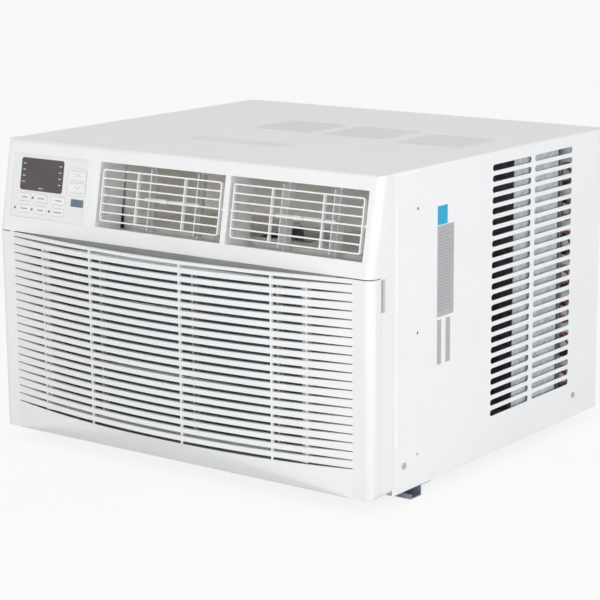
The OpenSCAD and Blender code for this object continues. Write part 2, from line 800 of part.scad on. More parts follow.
module main_board() place() color("darkgreen") {
    x = [panel_x[0] + 4, panel_x[1] - 12];
    top = pcb_z + board_t;
    box([x[0], pcb_y[0], pcb_z], [x[1], pcb_y[1], top]);
    for (px = [x[0] + 6, x[1] - 6], py = [pcb_y[0] + 6, pcb_y[1] - 6])
        translate([px, py, box_z + sheet]) cylinder(r = spacer_r, h = pcb_z - box_z - sheet + 0.1);
    translate([x[0] + 10, pcb_y[0] + 16, top - 0.1]) cube(transformer);
    for (i = [0:2]) translate([x[1] - 48 + relay_pitch * i, pcb_y[0] + 90, top - 0.1]) cube(relay);
}

module run_capacitor() place() color("gainsboro")
    translate([panel_x[1] - 45, pcb_y[0] + capacitor_r + 2, pcb_z + board_t]) {
        cylinder(r = capacitor_r, h = capacitor_h);
        for (a = [0, 120, 240]) translate([0, 0, capacitor_h - 0.8]) rotate(a)
            translate([capacitor_r / 2, -3, 0]) cube([0.8, 6, 8]);
    }

// ---- Outlets ----

module outlet_guide() place() color("oldlace") on_fascia() difference() {
    box([left_x0 - guide_wall, wall, outlet_rise - guide_wall],
        [right_x0 + outlet_w + guide_wall, guide_d, outlet_rise + outlet_h + guide_wall]);
    for (x0 = [left_x0, right_x0]) {
        box([x0, 0, outlet_rise], [x0 + outlet_w, guide_d + 5, outlet_rise + outlet_h]);
        translate([0, louver_pin_y, outlet_mid])
            rod_x(louver_pin_r + run, x0 - 5, x0 + outlet_w + 5);
        for (x = vane_x(x0)) translate([x, vane_y, outlet_rise - 5])
            cylinder(r = vane_pin_r + run, h = outlet_h + 10);
    }
}

function vane_x(x0) = [x0 + outlet_w / 2 - vane_gap / 2, x0 + outlet_w / 2 + vane_gap / 2];

module louver(x0) place() color("white") on_fascia() {
    xa = x0 + louver_side_gap;
    xb = x0 + outlet_w - louver_side_gap;
    low = outlet_rise + louver_end_gap;
    high = outlet_rise + outlet_h - louver_end_gap;
    pitch = (high - low - bar_t) / (bar_count - 1);
    along_y(louver_front, louver_front + louver_depth) difference() {
        translate([xa, low]) round_rect(xb - xa, high - low, 4);
        translate([xa + bar_t, low + bar_t]) round_rect(xb - xa - 2 * bar_t, high - low - 2 * bar_t, 2);
    }
    for (i = [1:bar_count - 2]) box([xa + bar_t - eps, louver_front, low + i * pitch],
        [xb - bar_t + eps, louver_front + louver_bar_d, low + i * pitch + bar_t]);
    for (x = vane_x(x0)) box([x - louver_rib_w / 2, louver_front + 0.5, low + bar_t - eps],
        [x + louver_rib_w / 2, louver_front + louver_depth, high - bar_t + eps]);
    for (x = [xa, xb - bar_t]) translate([0, louver_pin_y, outlet_mid]) rod_x(4, x, x + bar_t);
    translate([0, louver_pin_y, outlet_mid]) {
        rod_x(louver_pin_r, x0 - guide_wall, xa + eps);
        rod_x(louver_pin_r, xb - eps, x0 + outlet_w + guide_wall);
    }
}

module vane(x, turn) place() color("oldlace") on_fascia() translate([x, vane_y, 0]) {
    low = outlet_rise + vane_end_gap;
    high = outlet_rise + outlet_h - vane_end_gap;
    rotate(turn) {
        difference() {
            box([-vane_t / 2, -vane_chord / 2, low], [vane_t / 2, vane_chord / 2, high]);
            box([-vane_t, -vane_chord, outlet_mid - notch_h / 2],
                [vane_t, -vane_arm + link_d - 1, outlet_mid + notch_h / 2]);
        }
        translate([0, -vane_arm, outlet_mid - notch_h / 2 - eps])
            cylinder(r = vane_pin_r, h = notch_h + 2 * eps);
        translate([0, 0, outlet_rise - guide_wall]) cylinder(r = vane_pin_r, h = outlet_h + 2 * guide_wall);
    }
}

// The link joins the two vanes at their front edges and carries the finger tab
module vane_link(x0, turn) place() color("white") on_fascia() {
    shift = vane_arm * sin(turn);
    drop = vane_arm * (1 - cos(turn));
    x = vane_x(x0);
    y = vane_y - vane_arm;
    difference() {
        union() {
            box([x[0] + shift - 6, y - 3.4, outlet_mid - link_h / 2],
                [x[1] + shift + 6, y + link_d - 1.8, outlet_mid + link_h / 2]);
            box([(x[0] + x[1]) / 2 + tab_shift - tab_w / 2 + shift, y - tab_reach, outlet_mid - 3],
                [(x[0] + x[1]) / 2 + tab_shift + tab_w / 2 + shift, y - 3.3, outlet_mid + 3]);
        }
        for (v = x) translate([v + shift, 0, outlet_mid - 10]) linear_extrude(20) {
            w = vane_pin_r + link_slack;
            translate([0, y]) circle(w);
            translate([0, y + 1.2]) circle(w);
            translate([-w, y]) square([2 * w, 1.2]);
        }
    }
}

module air_duct() place() color("seashell") difference() {
    x = [left_x0 - guide_wall - duct_wall, right_x0 + outlet_w + guide_wall + duct_wall - 1];
    box([x[0], duct_y0, duct_z[0]], [x[1], bulk_y - seat, duct_z[1]]);
    box([x[0] + duct_wall, 0, duct_z[0] + duct_wall],
        [x[1] - duct_wall, bulk_y - duct_wall - 2, duct_z[1] - duct_wall]);
    box([tongue_x(), scroll_y0 + scroll_wall, 0],
        [scroll_max() - scroll_wall, bulk_y - duct_wall - 2, duct_z[0] + duct_wall + 1]);
}

// ---- Blower, motor and condenser fan ----

function scroll_r(a) = wheel_r + scroll_gap + scroll_wall + scroll_growth * (a - tongue_a) / (360 - tongue_a);
function scroll_max() = scroll_r(360);
function tongue_x() = scroll_r(tongue_a) * cos(tongue_a);
function spiral(inset) = [for (a = [tongue_a:10:360]) (scroll_r(a) - inset) * [cos(a), sin(a)]];

module scroll_outline(inset, top) translate([0, axis_z])
    polygon(concat(spiral(inset), [[scroll_max() - inset, top - axis_z],
        [tongue_x() - inset * cos(tongue_a), top - axis_z]]));

module blower_scroll() place() color("whitesmoke") {
    difference() {
        along_y(scroll_y0, bulk_y - seat) scroll_outline(0, scroll_top - seat);
        along_y(scroll_y0 + scroll_wall, bulk_y - seat - scroll_wall) {
            scroll_outline(scroll_wall, scroll_top + 1);
            translate([tongue_x(), scroll_top - 30])
                square([scroll_max() - scroll_wall - tongue_x(), 40]);
        }
        translate([0, 0, axis_z]) {
            rod_y(inlet_r, scroll_y0 - 1, scroll_y0 + scroll_wall + 1);
            rod_y(shaft_hole_r, bulk_y - 2 * scroll_wall, bulk_y + 1);
        }
    }
}

module blower_wheel() place() color("dimgray") translate([0, 0, axis_z]) {
    blades = 36;
    y1 = wheel_y + wheel_w;
    difference() {
        union() {
            rod_y(wheel_r, y1 - 2, y1);
            rod_y(wheel_hub_r, y1 - wheel_hub_w, y1);
        }
        rod_y(shaft_r + hub_run, y1 - wheel_hub_w - 8, y1 + 1);
    }
    difference() {
        rod_y(wheel_r, wheel_y, wheel_y + 3);
        rod_y(wheel_r - wheel_blade_d + 2, wheel_y - 1, wheel_y + 4);
    }
    for (i = [0:blades - 1]) rotate([0, i * 360 / blades, 0]) translate([wheel_r - wheel_blade_d, 0, 0])
        rotate([0, wheel_blade_turn, 0]) box([0, wheel_y + 2, -wheel_blade_t / 2],
            [wheel_blade_d - 2, y1 - 1, wheel_blade_t / 2]);
}

module fan_motor() place() color("dimgray") translate([0, 0, axis_z]) difference() {
    union() {
        rod_y(motor_r + motor_lug, motor_y, motor_y + 3);
        rod_y(motor_r - 8, motor_y + 2.9, motor_y + motor_len);
        rod_y(motor_r, motor_y + 14, motor_y + motor_len - 14);
        rod_y(16, motor_y + motor_len - 1, motor_y + motor_len + 8);
    }
    rod_y(shaft_r + run, 0, cab_d);
    for (a = [45:90:315]) rotate([0, a, 0]) translate([motor_r + 4, 0, 0]) rod_y(motor_lug_r, 0, cab_d);
}

module motor_shaft() place() color("silver") translate([0, 0, axis_z])
    rod_y(shaft_r, wheel_y + wheel_w - 34, fan_y + 22);

module condenser_fan() place() color("dimgray") translate([0, fan_y, axis_z]) {
    blades = 5;
    difference() {
        union() {
            rod_y(hub_r, -fan_hub_w / 2, fan_hub_w / 2);
            for (i = [0:blades - 1]) rotate([0, i * 360 / blades, 0])
                rotate([fan_blade_turn, 0, 0])
                    box([hub_r - fan_blade_sink, -fan_blade_t / 2, -fan_blade_w / 2],
                        [fan_r - fan_rim_t + 1, fan_blade_t / 2, fan_blade_w / 2]);
        }
        rod_y(shaft_r + hub_run, -fan_hub_w, fan_hub_w);
    }
    difference() {
        rod_y(fan_r, -fan_rim_w / 2, fan_rim_w / 2);
        rod_y(fan_r - fan_rim_t, -fan_rim_w, fan_rim_w);
    }
}

module fan_shroud() place() color("silver") {
    x = shroud_x;
    z = [12, cab_h - 18];
    difference() {
        box([-cab_w / 2 + 8, shroud_y, 4], [cab_w / 2 - 8, shroud_y + sheet, cab_h - 8]);
        translate([0, 0, axis_z]) rod_y(shroud_ring_r, 0, cab_d);
        for (p = shroud_pipes()) translate([p[0], 0, p[1]]) rod_y(p[2] + 3, 0, cab_d);
    }
    translate([0, 0, axis_z]) difference() {
        rod_y(shroud_ring_r + sheet, shroud_y, shroud_y + shroud_ring_d);
        rod_y(shroud_ring_r, shroud_y - 1, shroud_y + shroud_ring_d + 1);
    }
    // Wings that close the sides of the air path behind the slots
    for (s = [-1, 1]) on_side(s) difference() {
        union() {
            box([wing_x - sheet, wing_y[0], wing_z[0]], [wing_x, wing_y[1], wing_z[1]]);
            box([wing_x - wing_step, wing_y[1] - sheet, wing_z[0]], [wing_x, wing_y[1], wing_z[1]]);
            box([wing_x - wing_step, wing_y[1] - sheet, wing_z[0]],
                [wing_x - wing_step + sheet, shroud_y + eps, wing_z[1]]);
        }
        if (s < 0) translate([return_x, 0, discharge_z]) rod_y(discharge_r + 3, 0, cab_d);
    }
    difference() {
        box([-x, shroud_y, z[0] - 8], [x, cond_y - seat, z[1]]);
        box([sheet - x, shroud_y - 1, z[0] - 9], [x - sheet, cond_y, z[1] - sheet]);
    }
}
function shroud_pipes() = [[-return_x, discharge_z, discharge_r], [-return_x, cond_tube_z, liquid_r]];

// ---- Coils ----

module comb(half, depth) {
    n = floor(2 * half / fin_pitch);
    start = -n * fin_pitch / 2 + fin_pitch / 2;
    difference() {
        translate([-half, 0]) square([2 * half, depth]);
        for (i = [0:n - 1], y = [-1, depth - fin_slit_d])
            translate([start + i * fin_pitch - fin_slit / 2, y]) square([fin_slit, fin_slit_d + 1]);
    }
}

module coil_fins(half, y, z, rows, tubes, tube_z) color("lightsteelblue") difference() {
    translate([0, y, z[0]]) linear_extrude(z[1] - z[0]) comb(half, coil_t);
    for (r = rows, i = [0:tubes - 1]) translate([0, y + r, tube_z + i * tube_pitch])
        rod_x(tube_r + 0.05, -half - 1, half + 1);
}

// Serpentine tubes, one solid per row: straight runs joined by return bends at alternate ends
module coil_tubes(half, y, rows, tubes, tube_z) color("peru") for (r = rows) {
    for (i = [0:tubes - 1]) translate([0, y + r, tube_z + i * tube_pitch]) rod_x(tube_r, -half - 5, half + 5);
    for (i = [0:tubes - 2]) {
        side = i % 2 == 0 ? 1 : -1;
        translate([side * (half + 5), y + r, tube_z + (i + 0.5) * tube_pitch])
            rotate([90, 0, 0]) rotate(side > 0 ? -90 : 90)
                rotate_extrude(angle = 180) translate([tube_pitch / 2, 0]) circle(tube_r);
    }
}

module end_plate(x0, y, lip, z1, rows, tubes, tube_z) difference() {
    box([x0, y - lip, sheet], [x0 + sheet, y + coil_t, z1]);
    for (r = rows, i = [0:tubes - 1]) translate([0, y + r, tube_z + i * tube_pitch])
        rod_x(tube_r + 0.3, x0 - 1, x0 + sheet + 1);
}

module evaporator_fins() place() coil_fins(evap_half, evap_y, evap_z, evap_row, evap_tubes, evap_tube_z);
module evaporator_tubes() place() coil_tubes(evap_half, evap_y, evap_row, evap_tubes, evap_tube_z);
module condenser_fins() place() coil_fins(cond_half, cond_y, cond_z, cond_row, cond_tubes, cond_tube_z);
module condenser_tubes() place() coil_tubes(cond_half, cond_y, cond_row, cond_tubes, cond_tube_z);
module coil_end_plates() place() color("silver") {
    for (x0 = [-evap_half - sheet, evap_half])
        end_plate(x0, evap_y, 2, evap_z[1] + 2, evap_row, evap_tubes, evap_tube_z);
    for (x0 = [-cond_half - sheet, cond_half])
        end_plate(x0, cond_y, 0, cond_z[1] + 2, cond_row, cond_tubes, cond_tube_z);
}

// ---- Bulkhead, compressor and refrigerant circuit ----

module bulkhead() place() color("silver") difference() {
    box([-pan_x + sheet + seat, bulk_y, sheet], [pan_x - sheet - seat, bulk_y + sheet, cab_h - sheet - seat]);
    translate([0, 0, axis_z]) rod_y(shaft_hole_r, 0, cab_d);
    translate([-evap_end_x, 0, suction_z()]) rod_y(suction_r + 2, 0, cab_d);
    translate([drier_at[0], 0, capillary_z]) rod_y(capillary_r + 2, 0, cab_d);
}
function suction_z() = evap_tube_z + (evap_tubes - 1) * tube_pitch;
function comp_feet() = [for (a = comp_foot_a)
    [comp_at[0] + comp_foot_r * cos(a), comp_at[1] + comp_foot_r * sin(a)]];

module compressor() place() {
    color("black") translate([comp_at[0], comp_at[1], comp_z]) rotate_extrude() intersection() {
        union() {
            translate([0, comp_dome]) square([comp_r, comp_h - 2 * comp_dome]);
            for (z = [comp_dome, comp_h - comp_dome]) translate([0, z]) {
                square([comp_r - comp_dome, 2 * comp_dome], center = true);
                translate([comp_r - comp_dome, 0]) circle(comp_dome);
            }
            square([comp_r - comp_dome, comp_h]);
        }
        square([comp_r, comp_h]);
    }
    color("black") difference() {
        union() {
            translate([comp_at[0], comp_at[1], comp_foot_z])
                cylinder(r = comp_r - 16, h = comp_z - comp_foot_z + 1);
            for (a = comp_foot_a) translate([comp_at[0], comp_at[1], comp_foot_z]) rotate(a) {
                translate([0, -comp_foot_w / 2, 0]) cube([comp_foot_r, comp_foot_w, comp_foot_t]);
                translate([comp_foot_r, 0, 0]) cylinder(r = comp_foot_w / 2, h = comp_foot_t);
            }
        }
        for (p = comp_feet()) translate([p[0], p[1], 0]) cylinder(r = grommet_neck_r + 0.1, h = 60);
    }
    color("black") translate([comp_at[0], comp_at[1], comp_z + comp_h - 1])
        cylinder(r = comp_cap_r, h = comp_cap_h);
}

module compressor_grommets() place() color("dimgray") for (p = comp_feet())
    translate([p[0], p[1], 0]) difference() {
        union() {
            translate([0, 0, sheet]) cylinder(r = grommet_r, h = comp_foot_z - sheet);
            translate([0, 0, sheet]) cylinder(r = grommet_neck_r, h = comp_foot_z + comp_foot_t + 1);
        }
        translate([0, 0, -1]) cylinder(r = stud_r + 0.05, h = 40);
    }

module compressor_bolts() place() color("silver") for (p = comp_feet()) translate([p[0], p[1], 0]) {
    cylinder(r = stud_r, h = comp_foot_z + comp_foot_t + 12);
    translate([0, 0, comp_foot_z + comp_foot_t + 2.6]) cylinder(r = 7, h = 1.2);
    translate([0, 0, comp_foot_z + comp_foot_t + 3.7]) cylinder(r = 5.5, h = 5, $fn = 6);
}

module accumulator() place() color("black") translate([accum_at[0], accum_at[1], 0]) {
    h = accum_z[1] - accum_z[0];
    shell_x = comp_at[0] - accum_at[0] + comp_r + seat;
    pipe_z = accum_z[0] - 14;
    translate([0, 0, accum_z[0]]) rotate_extrude() intersection() {
        union() {
            translate([0, accum_fold_r]) square([accum_r, h - 2 * accum_fold_r]);
            for (z = [accum_fold_r, h - accum_fold_r])
                translate([accum_r - accum_fold_r, z]) circle(accum_fold_r);
            square([accum_r - accum_fold_r, h]);
        }
        square([accum_r, h]);
    }
    pipe([[0, 0, accum_z[0] + 1], [0, 0, pipe_z], [shell_x, 0, pipe_z]], 5);
    // Strap that holds it to the compressor
    box([shell_x, -6, accum_z[0] + 80], [1 - accum_r, 6, accum_z[0] + 92]);
}

module refrigerant_lines() place() color("peru") {
    top = comp_z + comp_h + comp_cap_h - 1 + seat;
    cond_top = cond_tube_z + (cond_tubes - 1) * tube_pitch;
    evap_x = -evap_half - 5 - seat;
    cond_x = -cond_half - 5 - seat;
    cond_rows = [cond_y + cond_row[0], cond_y + cond_row[1]];
    evap_rows = [evap_y + evap_row[0], evap_y + evap_row[1]];
    capillary_x = -evap_end_x - 12;
    pipe([[evap_x, evap_rows[1], suction_z()], [-evap_end_x, evap_rows[1], suction_z()],
        [-evap_end_x, suction_y, suction_z()], [accum_at[0], suction_y, suction_z()],
        [accum_at[0], accum_at[1], suction_z()], [accum_at[0], accum_at[1], accum_z[1] + seat]], suction_r);
    pipe([[comp_at[0], comp_at[1], top], [comp_at[0], comp_at[1], discharge_z],
        [-return_x, comp_at[1], discharge_z], [-return_x, cond_rows[0], discharge_z],
        [-return_x, cond_rows[0], cond_top], [cond_x, cond_rows[0], cond_top]], discharge_r);
    pipe([[cond_x, cond_rows[1], cond_tube_z], [-return_x, cond_rows[1], cond_tube_z],
        [-return_x, drier_at[1], cond_tube_z], [drier_at[0], drier_at[1], cond_tube_z],
        [drier_at[0], drier_at[1], drier_z[0] - seat]], liquid_r);
    pipe([[drier_at[0], drier_at[1], drier_z[1] + seat], [drier_at[0], drier_at[1], capillary_z],
        [drier_at[0], evap_rows[0], capillary_z], [capillary_x, evap_rows[0], capillary_z],
        [capillary_x, evap_rows[0], evap_tube_z], [evap_x, evap_rows[0], evap_tube_z]], capillary_r);
}

module filter_drier() place() color("peru") translate([drier_at[0], drier_at[1], drier_z[0]]) {
    h = drier_z[1] - drier_z[0];
    cylinder(r = 5, h = h);
    translate([0, 0, 8]) cylinder(r = drier_r, h = h - 16);
}

// ---- Small fittings and labels ----

module cord_gland() place() color("black") translate([0, gland_at[0], gland_at[1]]) difference() {
    union() {
        rod_x(gland_r - 0.1, -cab_w / 2 - 0.1, -cab_w / 2 + 14);
        rod_x(gland_r + 4, -cab_w / 2 - screw_head_t, -cab_w / 2);
        rod_x(gland_r + 3, -cab_w / 2 + sheet, -cab_w / 2 + sheet + 3);
    }
    rod_x(gland_bore_r, -cab_w, 0);
}

module drain_plug() place() color("black") translate([drain_at[0], drain_at[1], 0]) {
    translate([0, 0, -6]) cylinder(r = drain_r + 4, h = 6);
    cylinder(r = drain_r - 0.1, h = 6);
    translate([0, 0, sheet]) cylinder(r = drain_r + 2, h = 2);
}

module label(y, z) box([cab_w / 2, y[0], z[0]], [cab_w / 2 + label_t, y[1], z[1]]);
module efficiency_label() place() color("deepskyblue") label([105, 129], [346.5, 372]);
module rating_labels() place() color("silver") {
    label([104.5, 145], [222, 345.5]);
    label([105, 115], [157, 218]);
    label([126, 137], [157, 218]);
}

cabinet();
base_pan();
bottom_rail();
case_screws();
rear_guard();
front_panel();
slot_seal();
intake_grille();
grille_hinge_pins();
filter_frame();
filter_mesh();
control_overlay();
display_window();
ir_window();
status_leds();
display_board();
arrow_key(0);  // key_up
arrow_key(1);  // key_down
function_key(0);  // key_power
function_key(1);  // key_mode
function_key(2);  // key_fan
function_key(3);  // key_timer
function_key(4);  // key_sleep
function_key(5);  // key_save
louver(left_x0);  // left_louver
louver(right_x0);  // right_louver
vane(vane_x(left_x0)[0], left_turn);  // left_vane_1
vane(vane_x(left_x0)[1], left_turn);  // left_vane_2
vane_link(left_x0, left_turn);  // left_vane_link
vane(vane_x(right_x0)[0], 0);  // right_vane_1
vane(vane_x(right_x0)[1], 0);  // right_vane_2
vane_link(right_x0, 0);  // right_vane_link
outlet_guide();
air_duct();
control_box();
main_board();
run_capacitor();
blower_scroll();
blower_wheel();
fan_motor();
motor_shaft();
condenser_fan();
fan_shroud();
evaporator_fins();
evaporator_tubes();
condenser_fins();
condenser_tubes();
coil_end_plates();
bulkhead();
compressor();
compressor_grommets();
compressor_bolts();
accumulator();
refrigerant_lines();
filter_drier();
cord_gland();
drain_plug();
efficiency_label();
rating_labels();
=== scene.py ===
import json
import math

import bpy
import bmesh
from mathutils import Matrix, Vector


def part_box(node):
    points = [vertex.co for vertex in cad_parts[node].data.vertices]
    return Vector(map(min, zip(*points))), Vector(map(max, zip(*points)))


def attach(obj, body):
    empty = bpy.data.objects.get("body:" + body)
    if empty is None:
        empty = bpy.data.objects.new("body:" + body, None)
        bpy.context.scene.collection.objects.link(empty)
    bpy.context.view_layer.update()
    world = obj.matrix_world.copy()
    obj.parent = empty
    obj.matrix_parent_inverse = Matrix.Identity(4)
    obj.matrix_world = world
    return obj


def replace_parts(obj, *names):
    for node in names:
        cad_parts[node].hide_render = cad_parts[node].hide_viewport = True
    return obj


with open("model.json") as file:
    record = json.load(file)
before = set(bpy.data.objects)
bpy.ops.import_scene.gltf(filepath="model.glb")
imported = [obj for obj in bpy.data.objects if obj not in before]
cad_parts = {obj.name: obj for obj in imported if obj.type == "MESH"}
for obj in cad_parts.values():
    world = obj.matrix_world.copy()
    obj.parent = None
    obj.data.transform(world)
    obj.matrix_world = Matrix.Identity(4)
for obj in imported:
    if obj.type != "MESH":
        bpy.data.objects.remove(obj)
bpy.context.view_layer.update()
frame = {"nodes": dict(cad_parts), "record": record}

NODES = frame["nodes"]

# Sizes and places are in millimetres, from the middle of the cabinet's front lower edge
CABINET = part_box("cabinet")
FRONT_Y, FOOT_Z = CABINET[0].y * 1000, CABINET[0].z * 1000
HEIGHT = 428.0
# The front panel's depth at the fascia's foot and top, and the height of that foot
FOOT_DEPTH, TOP_DEPTH, SPLIT_Z = 48.0, 24.0, 298.0
LEAN = math.atan((FOOT_DEPTH - TOP_DEPTH) / (HEIGHT - SPLIT_Z))


def at(x, y, z):
    """A point of the cabinet's own frame, in millimetres, as a place in metres."""
    return Vector((x, y + FRONT_Y, z + FOOT_Z)) / 1000


def on_fascia(x, s, t):
    """x, depth s behind the sloping fascia and height t along it, as a place in metres."""
    return at(x, s * math.cos(LEAN) + t * math.sin(LEAN) - FOOT_DEPTH,
              SPLIT_Z - s * math.sin(LEAN) + t * math.cos(LEAN))


def in_metres(x, y, z):
    """A point of the shared frame, in millimetres, as a place in metres."""
    return Vector((x, y, z)) / 1000


# ---- Materials ----

def new_tree(name):
    m = bpy.data.materials.new(name)
    m.use_nodes = True
    t = m.node_tree
    shader = t.nodes["Principled BSDF"]
    return m, t, shader


def link(t, a, b):
    t.links.new(a, b)


def noise(t, scale, detail, stretch=None):
    """A noise texture in object space, in metres, with an optional stretch per axis."""
    place = t.nodes.new("ShaderNodeTexCoord").outputs["Object"]
    if stretch:
        mapping = t.nodes.new("ShaderNodeMapping")
        mapping.inputs["Scale"].default_value = stretch
        link(t, place, mapping.inputs["Vector"])
        place = mapping.outputs["Vector"]
    n = t.nodes.new("ShaderNodeTexNoise")
    n.inputs["Scale"].default_value = scale
    n.inputs["Detail"].default_value = detail
    link(t, place, n.inputs["Vector"])
    return n.outputs["Fac"]


def ramp(t, value, low, high):
    """Maps 0.3-0.7 of a noise onto two colours or two grey levels."""
    r = t.nodes.new("ShaderNodeValToRGB")
    r.color_ramp.elements[0].position = 0.3
    r.color_ramp.elements[1].position = 0.7
    r.color_ramp.elements[0].color = low
    r.color_ramp.elements[1].color = high
    link(t, value, r.inputs["Fac"])
    return r.outputs["Color"]


def tone(colour, k):
    return [min(1, max(0, c * k)) for c in colour] + [1]


def finish(name, colour, vary=0.03, tint_scale=14, rough=(0.4, 0.5), rough_scale=60, grain=900,
           bump=0.05, depth=0.0001, metallic=0.0, stretch=None, wear=None, **sockets):
    """A procedural finish: slow colour variation, patchy gloss and a fine surface grain."""
    m, t, shader = new_tree(name)
    base = ramp(t, noise(t, tint_scale, 3, stretch), tone(colour, 1 - vary), tone(colour, 1 + vary))
    if wear:
        # Paler or darker along outer edges, where handling rubs it
        geometry = t.nodes.new("ShaderNodeNewGeometry")
        edge = t.nodes.new("ShaderNodeMapRange")
        edge.inputs["From Min"].default_value = 0.56
        edge.inputs["From Max"].default_value = 0.7
        link(t, geometry.outputs["Pointiness"], edge.inputs["Value"])
        mix = t.nodes.new("ShaderNodeMixRGB")
        mix.inputs["Color2"].default_value = tone(colour, wear)
        link(t, edge.outputs["Result"], mix.inputs["Fac"])
        link(t, base, mix.inputs["Color1"])
        base = mix.outputs["Color"]
    link(t, base, shader.inputs["Base Color"])
    gloss = noise(t, rough_scale, 4, stretch)
    spread = t.nodes.new("ShaderNodeMapRange")
    spread.inputs["To Min"].default_value = rough[0]
    spread.inputs["To Max"].default_value = rough[1]
    link(t, gloss, spread.inputs["Value"])
    link(t, spread.outputs["Result"], shader.inputs["Roughness"])
    b = t.nodes.new("ShaderNodeBump")
    b.inputs["Strength"].default_value = bump
    b.inputs["Distance"].default_value = depth
    link(t, noise(t, grain, 2, stretch), b.inputs["Height"])
    link(t, b.outputs["Normal"], shader.inputs["Normal"])
    shader.inputs["Metallic"].default_value = metallic
    for socket, value in sockets.items():
        shader.inputs[socket.replace("_", " ")].default_value = value
    return m


def spangle(name, colour, cell):
    """Galvanised sheet: crystals of slightly different grey and gloss."""
    m = finish(name, colour, vary=0.06, rough=(0.32, 0.5), metallic=0.85, bump=0.03)
    t = m.node_tree
    shader = t.nodes["Principled BSDF"]
    place = t.nodes.new("ShaderNodeTexCoord").outputs["Object"]
    cells = t.nodes.new("ShaderNodeTexVoronoi")
    cells.inputs["Scale"].default_value = cell
    link(t, place, cells.inputs["Vector"])
    grey = t.nodes.new("ShaderNodeRGBToBW")
    link(t, cells.outputs["Color"], grey.inputs["Color"])
    link(t, ramp(t, grey.outputs["Val"], tone(colour, 0.9), tone(colour, 1.1)), shader.inputs["Base Color"])
    return m


def circuit(name):
    """Green board with paler copper tracks under the lacquer."""
    m = finish(name, (0.03, 0.16, 0.07), rough=(0.25, 0.4))
    t = m.node_tree
    bricks = t.nodes.new("ShaderNodeTexBrick")
    bricks.inputs["Scale"].default_value = 260
    bricks.inputs["Mortar Size"].default_value = 0.06
    for key, c in (("Color1", (0.02, 0.13, 0.05, 1)), ("Color2", (0.03, 0.17, 0.07, 1)),
                   ("Mortar", (0.10, 0.30, 0.12, 1))):
        bricks.inputs[key].default_value = c
    link(t, t.nodes.new("ShaderNodeTexCoord").outputs["Object"], bricks.inputs["Vector"])
    link(t, bricks.outputs["Color"], t.nodes["Principled BSDF"].inputs["Base Color"])
    return m


